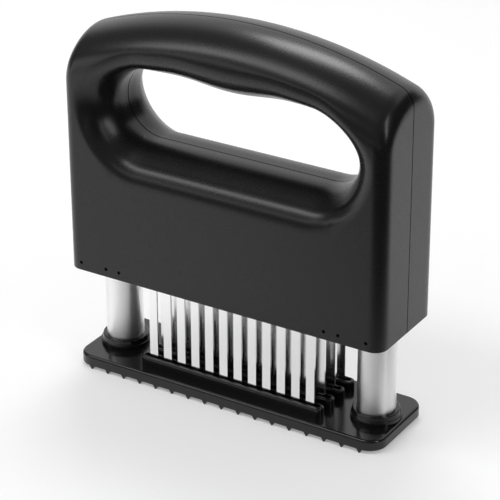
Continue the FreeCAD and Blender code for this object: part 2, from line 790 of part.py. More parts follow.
def make_shells():
    blank, outer_half, bushing_holes = make_front_blank()
    tubes = []
    bores = bushing_holes[:]
    for side, word in ((LEFT, "Left"), (RIGHT, "Right")):
        spots = (
            ("OuterPin", (column_x + size("pin_side_offset")) * side, True),
            ("InnerPin", (column_x - size("pin_side_offset")) * side, True),
            ("CarrierPin", (carrier_half_length - size("carrier_pin_to_end")) * side, False),
        )
        for spot, x, has_tube in spots:
            if has_tube:
                tubes.append(front_column(spot + "Tube" + word, size("pin_radius") + wall / 2, x, pin_z,
                                          size("pin_side_offset"), half_depth))
            bores.append(front_column(spot + "Bore" + word, size("pin_radius") + size("running_gap") / 2, x, pin_z,
                                      ZERO, past_wall()))
        for spot, boss_x, boss_z in boss_spots:
            bores.append(front_column(spot + "Pilot" + word, size("shell_screw_radius") + size("running_gap") / 2,
                                      boss_x * side, boss_z, ZERO,
                                      size("shell_screw_length") - size("shell_screw_head_y") + size("loose_gap")))
    front_solid = fuse("FrontWithTubes", [blank, common("TrimmedTubes", fuse("TubeStock", tubes), outer_half)])
    front = cut("front_shell", front_solid, fuse("FrontBores", bores))

    rear_blank = document.addObject("Part::Mirroring", "RearBlank")
    rear_blank.Source = blank
    rear_blank.Normal = FreeCAD.Vector(0, 1, 0)
    holes = []
    for side, word in ((LEFT, "Left"), (RIGHT, "Right")):
        for spot, boss_x, boss_z in boss_spots:
            holes.append(cylinder(spot + "ScrewHole" + word, size("shell_screw_radius") + size("side_gap"),
                                  past_wall(), boss_x * side, ZERO, boss_z, True))
            holes.append(cylinder(spot + "HeadHole" + word, size("shell_screw_head_radius") + size("side_gap"),
                                  past_wall(), boss_x * side, size("shell_screw_head_y"), boss_z, True))
    rear = cut("rear_shell", rear_blank, fuse("RearBores", holes))
    return front, rear


def make_bushing(name, x):
    body = new_body(name)
    flange = bushing_radius + size("flange_reach")
    flange_top = size("flange_bottom") + size("flange_height")
    bevel = size("bushing_wall") / 3
    turn_profile(body, name + "Profile", (
        (bushing_bore, size("body_bottom")), (bushing_radius - bevel, size("body_bottom")),
        (bushing_radius, size("body_bottom") + bevel), (bushing_radius, size("flange_bottom")),
        (flange, size("flange_bottom")), (flange, flange_top), (bushing_radius, flange_top),
        (bushing_radius, size("bushing_top") - bevel), (bushing_radius - bevel, size("bushing_top")),
        (bushing_bore, size("bushing_top"))))
    seats = new_sketch(body, name + "PinSeats", "XZ_Plane", bushing_edge_y - size("pin_bite"))
    for side in (LEFT, RIGHT):
        draw_circle(seats, size("pin_radius") + size("running_gap") / 2, size("pin_side_offset") * side, pin_z)
    pocket(body, seats, bushing_radius, Reversed=True)
    return place(body, x)


def make_rod(name, x):
    body = new_body(name)
    seat_radius = tube_inner - size("loose_gap")
    seat_top = rod_seat_bottom + size("rod_seat_height")
    nose_foot = rod_seat_bottom - size("rod_nose_length")
    bevel = size("rod_nose_radius") / 4
    turn_profile(body, name + "Profile", (
        (ZERO, nose_foot), (size("rod_nose_radius") - bevel, nose_foot),
        (size("rod_nose_radius"), nose_foot + bevel), (size("rod_nose_radius"), rod_seat_bottom),
        (seat_radius, rod_seat_bottom), (seat_radius, seat_top), (size("rod_radius"), seat_top),
        (size("rod_radius"), rod_head_bottom), (size("rod_head_radius"), rod_head_bottom),
        (size("rod_head_radius"), rod_head_top), (ZERO, rod_head_top)))
    return place(body, x)


# ---- blades and what holds them ----

def make_carrier():
    body = new_body("blade_carrier")
    boss = new_sketch(body, "CarrierBoss", "XY_Plane", size("body_bottom") + size("running_gap"))
    inset = size("carrier_window_inset") + size("side_gap")
    draw_box(boss, carrier_half_length - inset, carrier_half_depth - inset)
    pad(body, boss, carrier_top - size("body_bottom") - size("running_gap"))
    flange = new_sketch(body, "CarrierFlange", "XY_Plane", carrier_bottom)
    draw_box(flange, carrier_half_length, carrier_half_depth)
    pad(body, flange, size("carrier_thickness"))

    slot = new_sketch(body, "BladeSlot", "XY_Plane", size("body_bottom"))
    draw_box(slot, size("blade_width") / 2 + size("side_gap"), size("blade_thickness") / 2 + size("side_gap"),
             first_blade_x, row_y[0])
    slot_cut = pocket(body, slot, carrier_top - size("body_bottom"), Reversed=True)
    repeat(body, [slot_cut], "BladeSlots", (size("blade_count"), blade_pitch),
           (size("row_count"), row_pitch))

    post = new_sketch(body, "ClampPost", "XY_Plane", carrier_top)
    draw_box(post, size("carrier_post_length") / 2, size("clamp_width") / 2, -clamp_screw_x, row_y[0])
    post_pad = pad(body, post, size("blade_head_height"))
    hole = new_sketch(body, "ClampHole", "XY_Plane", clamp_bottom)
    draw_circle(hole, size("clamp_screw_radius") + size("running_gap") / 2, -clamp_screw_x, row_y[0])
    hole_cut = pocket(body, hole, size("clamp_screw_length") - size("clamp_thickness") + size("face_gap"))
    repeat(body, [post_pad, hole_cut], "ClampPosts", (Size(2), clamp_screw_x * 2),
           (size("row_count"), row_pitch))

    seats = new_sketch(body, "CarrierPinSeats", "XZ_Plane", carrier_half_depth - size("carrier_pin_bite"))
    for side in (LEFT, RIGHT):
        draw_circle(seats, size("pin_radius") + size("running_gap") / 2,
                    (carrier_half_length - size("carrier_pin_to_end")) * side, pin_z)
    pocket(body, seats, half_depth, Reversed=True)
    return body


def make_blade_row(name, y):
    body = new_body(name)
    half = size("blade_width") / 2
    head = size("blade_head_width") / 2
    point = size("blade_point_width") / 2
    tip = size("blade_tip_z")
    shoulder = tip + size("blade_point_height")
    head_foot = carrier_top + size("face_gap") / 2
    head_top = clamp_bottom - size("face_gap") / 2
    blade = new_sketch(body, name + "Blade", "XZ_Plane")
    x = first_blade_x
    draw_polygon(blade, ((x - point, tip), (x + point, tip), (x + half, shoulder), (x + half, head_foot),
                         (x + head, head_foot), (x + head, head_top), (x - head, head_top),
                         (x - head, head_foot), (x - half, head_foot), (x - half, shoulder)))
    one = pad(body, blade, size("blade_thickness"), SideType="Symmetric")
    repeat(body, [one], name + "Blades", (size("blade_count"), blade_pitch))
    return place(body, ZERO, y)


def make_clamp_bar(name, y):
    body = new_body(name)
    outline = new_sketch(body, name + "Outline", "XY_Plane", clamp_bottom)
    draw_rounded_box(outline, clamp_half_length, size("clamp_width") / 2, size("clamp_width") / 4)
    pad(body, outline, size("clamp_thickness"))
    holes = new_sketch(body, name + "Holes", "XY_Plane", clamp_bottom)
    for side in (LEFT, RIGHT):
        draw_circle(holes, size("clamp_screw_radius") + size("side_gap"), clamp_screw_x * side)
    pocket(body, holes, size("clamp_thickness"), Reversed=True)
    return place(body, ZERO, y)


def make_clamp_screws():
    body = make_screw("clamp_screws", size("clamp_screw_radius"), size("clamp_screw_length"),
                      size("clamp_screw_head_radius"), size("clamp_screw_head_height"),
                      [(Size(2), clamp_screw_x * 2), (size("row_count"), row_pitch)])
    foot = clamp_bottom + size("clamp_thickness") - size("clamp_screw_length") + size("face_gap") / 2
    return place(body, -clamp_screw_x, row_y[0], foot)


def make_shell_screws():
    pairs = []
    for spot, boss_x, boss_z in boss_spots:
        body = make_screw(spot + "ShellScrews", size("shell_screw_radius"), size("shell_screw_length"),
                          size("shell_screw_head_radius"), size("shell_screw_head_height"),
                          [(Size(2), boss_x * 2)])
        body.Placement.Rotation = FreeCAD.Rotation(FreeCAD.Vector(1, 0, 0), -90)
        foot = size("shell_screw_head_y") - size("shell_screw_length") + size("face_gap") / 2
        pairs.append(place(body, -boss_x, foot, boss_z))
    return group("shell_screws", pairs)


def make_pins():
    pins = []
    outer_y = half_depth - size("pin_recess")
    bushing_pin_end = bushing_edge_y - size("pin_bite") + size("face_gap")
    carrier_pin_end = carrier_half_depth - size("carrier_pin_bite") + size("face_gap")
    for side, word in ((LEFT, "Left"), (RIGHT, "Right")):
        spots = (
            ("OuterPin", column_x + size("pin_side_offset"), bushing_pin_end),
            ("InnerPin", column_x - size("pin_side_offset"), bushing_pin_end),
            ("CarrierPin", carrier_half_length - size("carrier_pin_to_end"), carrier_pin_end),
        )
        for spot, x, inner_y in spots:
            pins.append(front_column(spot + word, size("pin_radius"), x * side, pin_z, inner_y, outer_y))
    return group("retaining_pins", pins)


# ---- build, check and write ----

nodes = [make_base_plate(), make_foot_screws()]
for word, x in (("left", -column_x), ("right", column_x)):
    nodes.append(make_column_tube("column_tube_" + word, x))
    nodes.append(make_foot_plug("tube_foot_plug_" + word, x))
    nodes.append(make_stop_ring("stop_ring_" + word, x))
    nodes.append(make_spring("return_spring_" + word, x))
    nodes.append(make_rod("spring_rod_" + word, x))
    nodes.append(make_bushing("guide_bushing_" + word, x))
nodes.extend(make_shells())
nodes.append(make_carrier())
for word, y in zip(ROW_NAMES, row_y):
    nodes.append(make_blade_row(word + "_blade_row", y))
    nodes.append(make_clamp_bar(word + "_clamp_bar", y))
nodes.extend((make_clamp_screws(), make_shell_screws(), make_pins()))

document.recompute()
faults = []
for item in document.Objects:
    if "Invalid" in item.State or "Error" in item.State:
        faults.append(f"{item.Name}: {item.State}")
for node in nodes:
    node.Label = node.Name
    if node.Shape.isNull() or not node.Shape.isValid() or not node.Shape.Solids:
        faults.append(f"{node.Name}: no sound solid")
if faults:
    raise SystemExit("; ".join(faults))

os.makedirs("parts", exist_ok=True)
for node in nodes:
    node.Shape.exportStep(f"parts/{node.Name}.step")
    box = node.Shape.BoundBox
    print(f"{node.Name}: {len(node.Shape.Solids)} solids, {node.Shape.Volume:.0f} mm3, "
          f"x {box.XMin:.2f} to {box.XMax:.2f}, y {box.YMin:.2f} to {box.YMax:.2f}, "
          f"z {box.ZMin:.2f} to {box.ZMax:.2f}")
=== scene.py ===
import math

import bmesh
import bpy
import numpy
from mathutils import Matrix, Vector


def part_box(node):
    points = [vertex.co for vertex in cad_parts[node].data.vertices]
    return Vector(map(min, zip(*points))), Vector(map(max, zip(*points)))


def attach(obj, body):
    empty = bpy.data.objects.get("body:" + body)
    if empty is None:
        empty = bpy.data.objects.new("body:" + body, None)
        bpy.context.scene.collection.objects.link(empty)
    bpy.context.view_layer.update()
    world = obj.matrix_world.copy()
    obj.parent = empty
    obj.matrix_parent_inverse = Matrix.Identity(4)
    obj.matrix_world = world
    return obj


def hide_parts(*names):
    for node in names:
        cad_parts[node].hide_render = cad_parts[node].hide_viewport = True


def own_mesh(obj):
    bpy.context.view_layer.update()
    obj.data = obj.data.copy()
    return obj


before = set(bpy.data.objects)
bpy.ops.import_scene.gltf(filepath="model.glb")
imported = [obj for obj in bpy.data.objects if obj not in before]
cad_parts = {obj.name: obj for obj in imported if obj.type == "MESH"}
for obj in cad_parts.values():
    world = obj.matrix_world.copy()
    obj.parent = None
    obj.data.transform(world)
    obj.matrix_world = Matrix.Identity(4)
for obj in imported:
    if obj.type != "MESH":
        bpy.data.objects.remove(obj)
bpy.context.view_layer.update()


class Wire:  # one output socket, so that shader maths reads as plain expressions
    def __init__(self, graph, socket):
        self.graph = graph
        self.socket = socket

    def math(self, operation, *others):
        return self.graph.add("ShaderNodeMath", {"operation": operation}, [self, *others])

    def __add__(self, other):
        return self.math("ADD", other)

    def __sub__(self, other):
        return self.math("SUBTRACT", other)

    def __mul__(self, other):
        return self.math("MULTIPLY", other)

    def __radd__(self, other):
        return self + other

    def __rmul__(self, other):
        return self * other

    def __rsub__(self, other):
        return self.graph.add("ShaderNodeMath", {"operation": "SUBTRACT"}, [other, self])

    def clamp(self):
        return self.graph.add("ShaderNodeClamp", {}, [self])

    def ramp(self, low, high):  # 0 below low, 1 above high, smooth between
        inputs = {"Value": self, "From Min": low, "From Max": high}
        return self.graph.add("ShaderNodeMapRange", {"interpolation_type": "SMOOTHSTEP"}, inputs)


class Graph:  # the node tree of a material or of the world, with its main shader
    def __init__(self, owner, shader="Principled BSDF"):
        self.owner = owner
        owner.use_nodes = True
        self.tree = owner.node_tree
        self.shader = self.tree.nodes[shader]

    def add(self, kind, settings, inputs, output=0):
        node = self.tree.nodes.new(kind)
        for key, value in settings.items():
            setattr(node, key, value)
        pairs = inputs.items() if isinstance(inputs, dict) else enumerate(inputs)
        for key, value in pairs:
            self.feed(node.inputs[key], value)
        return Wire(self, node.outputs[output])

    def feed(self, socket, value):
        if isinstance(value, Wire):
            self.tree.links.new(value.socket, socket)
        else:
            socket.default_value = value

    def place(self):  # object coordinates, which are the part's own metres
        return self.add("ShaderNodeTexCoord", {}, {}, "Object")

    def stretch(self, scale):
        return self.add("ShaderNodeMapping", {}, {"Vector": self.place(), "Scale": scale})

    def noise(self, scale, detail=3.0, stretch=(1, 1, 1), roughness=0.55):
        inputs = {"Vector": self.stretch(stretch), "Scale": scale, "Detail": detail, "Roughness": roughness}
        return self.add("ShaderNodeTexNoise", {}, inputs)

    def mix(self, factor, first, second):
        inputs = {"Factor": factor, 6: first, 7: second}
        return self.add("ShaderNodeMix", {"data_type": "RGBA"}, inputs, 2)

    def bump(self, height, strength, distance):
        inputs = {"Height": height, "Strength": strength, "Distance": distance}
        return self.add("ShaderNodeBump", {}, inputs)

    def paintShadow(self, mask):  # painted shadow: where mask is 1 the surface is painted black, standing in for the shade in the gap
        shadowBlack = self.add("ShaderNodeBsdfDiffuse", {}, {"Color": grey(0.001)})
        output = self.tree.nodes["Material Output"].inputs["Surface"]
        shown = Wire(self, self.shader.outputs[0])
        self.feed(output, self.add("ShaderNodeMixShader", {}, [mask, shown, shadowBlack]))

    def finish(self, **sockets):
        for name, value in sockets.items():
            self.feed(self.shader.inputs[name.replace("_", " ")], value)
        return self.owner


def newFinish(name):
    return Graph(bpy.data.materials.new(name))


def grey(value):
    return (value, value, value, 1.0)


def placePiece(name, mesh, finish, sharpAngle=None):  # puts a mesh in the scene as a new object
    if sharpAngle is not None:
        smoothShade(mesh, sharpAngle)
    mesh.materials.append(finish)
    piece = bpy.data.objects.new(name, mesh)
    bpy.context.scene.collection.objects.link(piece)
    return piece


def smoothShade(mesh, sharpAngle):  # smooth but for the edges that turn by more than the angle
    mesh.shade_smooth()
    mesh.set_sharp_from_angle(angle=math.radians(sharpAngle))


def meshFrom(built, name):  # turns a bmesh into a mesh with its faces outwards
    bmesh.ops.recalc_face_normals(built, faces=built.faces)
    mesh = bpy.data.meshes.new(name)
    built.to_mesh(mesh)
    built.free()
    return mesh


# camera, place in metres and angles in degrees
camera = {"place": (0.41675, -0.66844, 0.45357), "azimuth": 31.845, "elevation": 26.342, "roll": -0.227,
          "lens": 158.4}


def setCamera():
    data = bpy.data.cameras.new("camera")
    data.sensor_width = 36.0
    data.lens = camera["lens"]
    holder = bpy.data.objects.new("camera", data)
    bpy.context.scene.collection.objects.link(holder)
    azimuth, elevation, roll = (math.radians(camera[key]) for key in ("azimuth", "elevation", "roll"))
    back = Vector((math.sin(azimuth) * math.cos(elevation), -math.cos(azimuth) * math.cos(elevation),
                   math.sin(elevation)))
    right = Vector((math.cos(azimuth), math.sin(azimuth), 0))
    up = back.cross(right)
    tiltedRight = right * math.cos(roll) + up * math.sin(roll)
    tiltedUp = up * math.cos(roll) - right * math.sin(roll)
    turn = Matrix((tiltedRight, tiltedUp, back)).transposed().to_4x4()
    holder.matrix_world = Matrix.Translation(camera["place"]) @ turn
    bpy.context.scene.camera = holder
    print("camera set")


setCamera()


# round pieces, turned about an upright axis from an outline of radius and height in millimetres
def roundCorner(centre, radius, start, end, steps=6):
    points = []
    for step in range(steps + 1):
        turn = math.radians(start + (end - start) * step / steps)
        points.append((centre[0] + radius * math.cos(turn), centre[1] + radius * math.sin(turn)))
    return points


turning = {"around": 160, "sharpAngle": 32}


def turnPiece(name, outline, x, finish):
    built = bmesh.new()
    rings = []
    for step in range(turning["around"]):
        turn = 2 * math.pi * step / turning["around"]
        ring = []
        for radius, height in outline:
            ring.append(built.verts.new((x + radius * math.cos(turn) / 1000, radius * math.sin(turn) / 1000,
                                         height / 1000)))
        rings.append(ring)
    for here, there in zip(rings, rings[1:] + rings[:1]):
        for low, high in zip(range(len(outline)), [*range(1, len(outline)), 0]):
            built.faces.new((here[low], there[low], there[high], here[high]))
    return placePiece(name, meshFrom(built, name), finish, turning["sharpAngle"])


# finishes
handleFinish = {"colour": 0.0065, "roughness": 0.27, "grainScale": 2600, "grainDepth": 0.22,
                "grainHeight": 0.00003, "grainGloss": 0.05, "smudgeScale": 38, "smudge": 0.07,
                "cloudScale": 14, "cloud": (0.9, 1.12), "seam": (0.00018, 0.0003)}
baseFinish = {"colour": 0.006, "roughness": 0.16, "waveScale": 60, "wave": (0.85, 1.15), "waveGloss": 0.05,
              "waveDepth": 0.15, "waveHeight": 0.0002, "scuffScale": 900, "scuffEdge": (0.62, 0.8),
              "scuff": 0.1}
innerFinish = {"dark": 0.02, "light": 0.028, "roughness": 0.42, "grainScale": 1500, "grainGloss": 0.1}
steelFinish = {
    "bladeSteel": {"colour": 0.93, "roughness": 0.16, "lines": (1, 1, 0.03), "depth": 0.05},
    "tubeSteel": {"colour": 0.97, "roughness": 0.34, "lines": (0.5, 0.5, 0.01), "depth": 0.0, "grind": 0.9},
    "screwSteel": {"colour": 0.5, "roughness": 0.3, "lines": (1, 1, 1), "depth": 0.1},
    "pinSteel": {"colour": 0.04, "roughness": 0.4, "lines": (1, 1, 1), "depth": 0.1},
}
steelGrain = {"lineScale": 1800, "lineTone": (0.95, 1.04), "lineGloss": 0.04, "lineHeight": 0.00001,
              "spotScale": 90, "spotGloss": 0.03}


def handlePlastic():
    look = handleFinish
    g = newFinish("handlePlastic")
    grain = g.noise(look["grainScale"], 2.0)
    smudge = g.noise(look["smudgeScale"], 3.0)
    cloud = g.noise(look["cloudScale"], 2.0)
    roughness = look["roughness"] + (smudge - 0.5) * look["smudge"] + (grain - 0.5) * look["grainGloss"]
    colour = g.mix(cloud, *(grey(look["colour"] * share) for share in look["cloud"]))
    across = g.add("ShaderNodeSeparateXYZ", {}, [g.place()], 1)
    g.paintShadow(1 - across.math("ABSOLUTE").ramp(*look["seam"]))  # painted shadow along the seam between the halves
    return g.finish(Base_Color=colour, Roughness=roughness, IOR=1.45,
                    Normal=g.bump(grain, look["grainDepth"], look["grainHeight"]))


def basePlastic():
    look = baseFinish
    g = newFinish("basePlastic")
    wave = g.noise(look["waveScale"], 2.0)
    scuff = g.noise(look["scuffScale"], 4.0, (1, 6, 6))  # fine scratches along the plate
    scuffed = scuff.ramp(*look["scuffEdge"]) * look["scuff"]
    roughness = look["roughness"] + (wave - 0.5) * look["waveGloss"] + scuffed
    colour = g.mix(wave, *(grey(look["colour"] * share) for share in look["wave"]))
    return g.finish(Base_Color=colour, Roughness=roughness, IOR=1.5,
                    Normal=g.bump(wave, look["waveDepth"], look["waveHeight"]))


def innerPlastic():
    look = innerFinish
    g = newFinish("innerPlastic")
    grain = g.noise(look["grainScale"], 2.0)
    return g.finish(Base_Color=g.mix(grain, grey(look["dark"]), grey(look["light"])),
                    Roughness=look["roughness"] + (grain - 0.5) * look["grainGloss"])


def steel(name, colour, roughness, lines, depth, grind=0.0):  # grind blurs reflections up and down only
    look = steelGrain
    g = newFinish(name)
    drawn = g.noise(look["lineScale"], 3.0, lines)
    spots = g.noise(look["spotScale"], 3.0)
    tone = g.mix(drawn, *(grey(min(1.0, colour * share)) for share in look["lineTone"]))
    rough = roughness + (spots - 0.5) * look["spotGloss"] + (drawn - 0.5) * look["lineGloss"] * (1 - grind)
    return g.finish(Base_Color=tone, Metallic=1.0, Roughness=rough, Anisotropic=grind,
                    Anisotropic_Rotation=0.25, Normal=g.bump(drawn, depth, look["lineHeight"]))


def dress():
    handle = handlePlastic()
    base = basePlastic()
    inner = innerPlastic()
    blade, tube, plain, black = (steel(name, **look) for name, look in steelFinish.items())
    for name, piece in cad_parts.items():
        if name.endswith("_shell"):
            finish = handle
        elif name == "base_plate":
            finish = base
        elif name.endswith("_blade_row"):
            finish = blade
        elif name.startswith("column_tube"):
            finish = tube
        elif name == "retaining_pins":
            finish = black
        elif name.startswith(("guide_bushing", "blade_carrier", "spring_rod", "tube_foot")):
            finish = inner
        else:
            finish = plain
        piece.data.materials.clear()
        piece.data.materials.append(finish)
    print("finishes on")
    return handle, base, tube, plain


handleBlack, baseBlack, tubeSteel, plainSteel = dress()


# columns: drawn tubes with a ring groove near the top and softened lips
column = {"wall": 0.8, "grooveLow": 64.6, "grooveHigh": 67.2, "grooveDepth": 0.4, "lip": 0.2}


def columnOutline(radius, foot, top):
    bore, lip = radius - column["wall"], column["lip"]
    groove = radius - column["grooveDepth"]
    outline = roundCorner((bore + lip, foot + lip), lip, 180, 270, 3)
    outline += roundCorner((radius - lip, foot + lip), lip, -90, 0, 3)
    outline += [(radius, column["grooveLow"]), (groove, column["grooveLow"]), (groove, column["grooveHigh"]),
                (radius, column["grooveHigh"])]
    outline += roundCorner((radius - lip, top - lip), lip, 0, 90, 3)
    outline += roundCorner((bore + lip, top - lip), lip, 90, 180, 3)
    return outline


# collars: a ring on a step, leaning in a little, over each column socket
collar = {"bore": 7.87, "radius": 9.63, "foot": 9.95, "top": 10.03, "round": 0.6, "boreRound": 0.12,
          "stepRadius": 10.41, "stepTop": 7.63, "stepRound": 0.4, "cove": 0.3, "floor": 5.98}


def collarOutline():
    c = collar
    edge, cove, lip, inside = c["stepRound"], c["cove"], c["round"], c["boreRound"]
    outline = [(c["bore"], c["floor"]), (c["stepRadius"], c["floor"])]
    outline += roundCorner((c["stepRadius"] - edge, c["stepTop"] - edge), edge, 0, 80)
    outline += roundCorner((c["foot"] + cove, c["stepTop"] + cove), cove, 262, 190, 4)
    outline += roundCorner((c["radius"] - lip, c["top"] - lip), lip, 6, 90)
    outline += roundCorner((c["bore"] + inside, c["top"] - inside), inside, 90, 180, 3)
    return outline


def addColumns():
    for side in ("left", "right"):
        node = "column_tube_" + side
        low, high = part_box(node)
        x, radius = (low[0] + high[0]) / 2, (high[0] - low[0]) / 2 * 1000
        outline = columnOutline(radius, low[2] * 1000, high[2] * 1000)
        tube = turnPiece("column" + side.capitalize(), outline, x, tubeSteel)
        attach(tube, "base")
        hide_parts(node)
        ring = turnPiece("collar" + side.capitalize(), collarOutline(), x, baseBlack)
        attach(ring, "base")
    print("columns and collars made")


addColumns()


# return springs, in millimetres: closed ends with open turns between, built at one length, though the real
# ones are squeezed as the handle comes down
spring = {"wire": 0.7, "turns": 7, "closedTurns": 0.9, "steps": 40, "around": 10, "travel": 35.0,
          "sharpAngle": 60}


def makeSpring(name, low, high, finish):
    wire, turns, closed = spring["wire"], spring["turns"], spring["closedTurns"]
    x, radius = (low[0] + high[0]) / 2 * 1000, (high[0] - low[0]) / 2 * 1000 - wire
    foot, top = low[2] * 1000 + wire, high[2] * 1000 - wire
    pitch = (top - foot - 4 * wire * closed) / (turns - 2 * closed)
    built = bmesh.new()
    rings = []
    for step in range(turns * spring["steps"] + 1):
        turn = step / spring["steps"]
        height = foot + 2 * wire * (min(turn, closed) + max(turn - turns + closed, 0))
        height += pitch * min(max(turn - closed, 0), turns - 2 * closed)
        ring = []
        for side in range(spring["around"]):
            around = 2 * math.pi * side / spring["around"]
            out = radius + wire * math.cos(around)
            ring.append(built.verts.new(((x + out * math.cos(2 * math.pi * turn)) / 1000,
                                         out * math.sin(2 * math.pi * turn) / 1000,
                                         (height + wire * math.sin(around)) / 1000)))
        rings.append(ring)
    for here, there in zip(rings, rings[1:]):
        for side in range(spring["around"]):
            after = (side + 1) % spring["around"]
            built.faces.new((here[side], there[side], there[after], here[after]))
    built.faces.new(rings[0])
    built.faces.new(rings[-1])
    return placePiece(name, meshFrom(built, name), finish, spring["sharpAngle"])


def addSprings():
    for side in ("left", "right"):
        node = "return_spring_" + side
        low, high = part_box(node)
        coil = makeSpring("spring" + side.capitalize(), low, high, plainSteel)
        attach(coil, "base")
        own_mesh(coil)
        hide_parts(node)
    print("springs made")


addSprings()


# handle shells, in millimetres: an arched, crowned box with rounded ends, and the grip scooped through it
shell = {"halfLength": 73.0, "halfDepth": 21.25, "bottom": 46.4, "archTop": 160.08, "archRadius": 195.0,
         "crownHeight": 17.0, "crownSide": 14.0, "edgeRound": 5.5, "seamGap": 0.2, "wall": 2.2,
         "cutBelow": 30.0, "sharpAngle": 40}
grip = {"floor": 103.5, "roof": 135.8, "end": 55.5, "hump": 2.2, "humpHalf": 27.0, "drop": 8.0, "rise": 9.0,
        "flare": 6.5, "followArch": (0.08, 0.77), "followFrom": 4.0, "followFull": 2.0, "rimLow": 4.6,
        "rimHigh": 6.0}
# how the scoop opens: at shares of the way from seam to face, the share of its drop, rise or flare
opening = {
    "scoop": ((0.0, 0.0), (0.3, 0.02), (0.46, 0.12), (0.62, 0.35), (0.78, 0.62), (0.94, 0.88), (1.06, 1.03),
              (1.3, 1.2)),
    "frontLip": ((0.0, 0.0), (0.26, 0.03), (0.42, 0.16), (0.6, 0.44), (0.78, 0.75), (0.93, 0.965),
                 (1.05, 1.03), (1.3, 1.06)),
    "ends": ((0.0, 0.0), (0.31, 0.035), (0.485, 0.155), (0.655, 0.42), (0.82, 0.76), (0.945, 0.96),
             (1.05, 1.02), (1.3, 1.05)),
}
skin = {"floorSteps": 30, "endSteps": 110, "roofSteps": 44, "profileSteps": 88, "marches": 90,
        "stride": 0.85, "start": 6.0}


def smoothCurve(points, count=400):  # a smooth curve through the points, as a table to look up
    xs, ys = numpy.array(points).T
    slopes = numpy.gradient(ys, xs)
    at = numpy.linspace(xs[0], xs[-1], count)
    low = numpy.clip(numpy.searchsorted(xs, at, side="right") - 1, 0, len(xs) - 2)
    span = xs[low + 1] - xs[low]
    t = (at - xs[low]) / span
    rest = 1 - t
    values = ((1 + 2 * t) * rest * rest * ys[low] + t * rest * rest * span * slopes[low]
              + t * t * (3 - 2 * t) * ys[low + 1] - t * t * rest * span * slopes[low + 1])
    return at, values


scoopTable, lipTable, endTable = (smoothCurve(points) for points in opening.values())
slopeTable = scoopTable[0], numpy.gradient(scoopTable[1], scoopTable[0])


def smoothStep(value, low, high):
    t = numpy.clip((value - low) / (high - low), 0, 1)
    return t * t * (3 - 2 * t)


def roundedMax(first, second, radius):  # keeps what is inside both, with the corner between them rounded
    first, second = first + radius, second + radius
    corner = numpy.hypot(numpy.maximum(first, 0), numpy.maximum(second, 0))
    return numpy.minimum(numpy.maximum(first, second), 0) + corner - radius


def outsideDistance(x, depth, z):  # below 0 inside the handle's outside shape
    s = shell
    pivot = s["archTop"] - s["archRadius"]
    level = pivot + numpy.hypot(x, z - pivot)  # height with the arch straightened
    springLine = s["archTop"] - s["crownHeight"]
    sideCentre = s["halfDepth"] - s["crownSide"]
    topRadius = (sideCentre ** 2 + s["crownHeight"] ** 2 - s["crownSide"] ** 2) / (
        2 * (s["crownHeight"] - s["crownSide"]))
    topCentre = s["archTop"] - topRadius
    onTop = depth * (springLine - topCentre) < (level - topCentre) * sideCentre
    side = numpy.hypot(depth - sideCentre, level - springLine) - s["crownSide"]
    top = numpy.hypot(depth, level - topCentre) - topRadius
    crown = numpy.where(level < springLine, depth - s["halfDepth"], numpy.where(onTop, top, side))
    return roundedMax(crown, numpy.abs(x) - s["halfLength"], s["edgeRound"])


def gripDistance(x, depth, z):  # below 0 inside the grip opening, with depth below 0 in the front
    way = numpy.abs(depth) / shell["halfDepth"]
    share = numpy.interp(way, *scoopTable)
    slope = numpy.interp(way, *slopeTable) * (grip["drop"] + grip["rise"]) / 2 / shell["halfDepth"]
    dip = numpy.where(depth < 0, numpy.interp(way, *lipTable), share)
    floor, roof = grip["floor"] - grip["drop"] * dip, grip["roof"] + grip["rise"] * share
    radius, middle = (roof - floor) / 2, (roof + floor) / 2
    straight = grip["end"] + grip["flare"] * numpy.interp(way, *endTable) - radius
    hump = grip["hump"] * (1 + numpy.cos(numpy.pi * numpy.clip(numpy.abs(x) / grip["humpHalf"], 0, 1))) / 2
    archDrop = shell["archRadius"] - numpy.sqrt(shell["archRadius"] ** 2 - x * x)
    atSeam, furtherOut = grip["followArch"]
    lowered = hump + (atSeam + furtherOut * share) * archDrop
    z = z + lowered * smoothStep(z, middle - grip["followFrom"], roof - grip["followFull"])
    flat = numpy.hypot(numpy.maximum(numpy.abs(x) - straight, 0), z - middle) - radius
    return flat / numpy.sqrt(1 + slope * slope)


def shellDistance(x, depth, z):  # below 0 in the handle's solid, before it is hollowed
    rim = grip["rimLow"] + (grip["rimHigh"] - grip["rimLow"]) * smoothStep(z, grip["floor"], grip["roof"])
    solid = roundedMax(outsideDistance(x, numpy.abs(depth), z), -gripDistance(x, depth, z), rim)
    return numpy.maximum(solid, shell["cutBelow"] - z)


def gripLoop():  # points on the grip's outline at the seam, with the way straight out of it
    radius = (grip["roof"] - grip["floor"]) / 2
    middle = (grip["roof"] + grip["floor"]) / 2
    straight = grip["end"] - radius
    loop = []
    for step in range(skin["floorSteps"]):
        loop.append((-straight + 2 * straight * step / skin["floorSteps"], middle - radius, 0, -1))
    for step in range(skin["endSteps"]):
        turn = math.radians(-90 + 180 * step / skin["endSteps"])
        loop.append((straight, middle, math.cos(turn), math.sin(turn)))
    for step in range(skin["roofSteps"]):
        loop.append((straight - 2 * straight * step / skin["roofSteps"], middle + radius, 0, 1))
    for step in range(skin["endSteps"]):
        turn = math.radians(90 + 180 * step / skin["endSteps"])
        loop.append((-straight, middle, math.cos(turn), math.sin(turn)))
    loop = numpy.array(loop)
    onArc = numpy.abs(loop[:, 1] - middle) < 1e-9
    loop[:, 0] += numpy.where(onArc, loop[:, 2] * radius, 0)
    loop[:, 1] += numpy.where(onArc, loop[:, 3] * radius, 0)
    return loop


def march(start, way, inside):  # from a point in the solid, along way, to its surface
    reach = numpy.zeros(start.shape[:-1])
    for step in range(skin["marches"]):
        point = start + way * reach[..., None]
        reach = reach - inside(point[..., 0], point[..., 1], point[..., 2]) * skin["stride"]
    return start + way * reach[..., None]


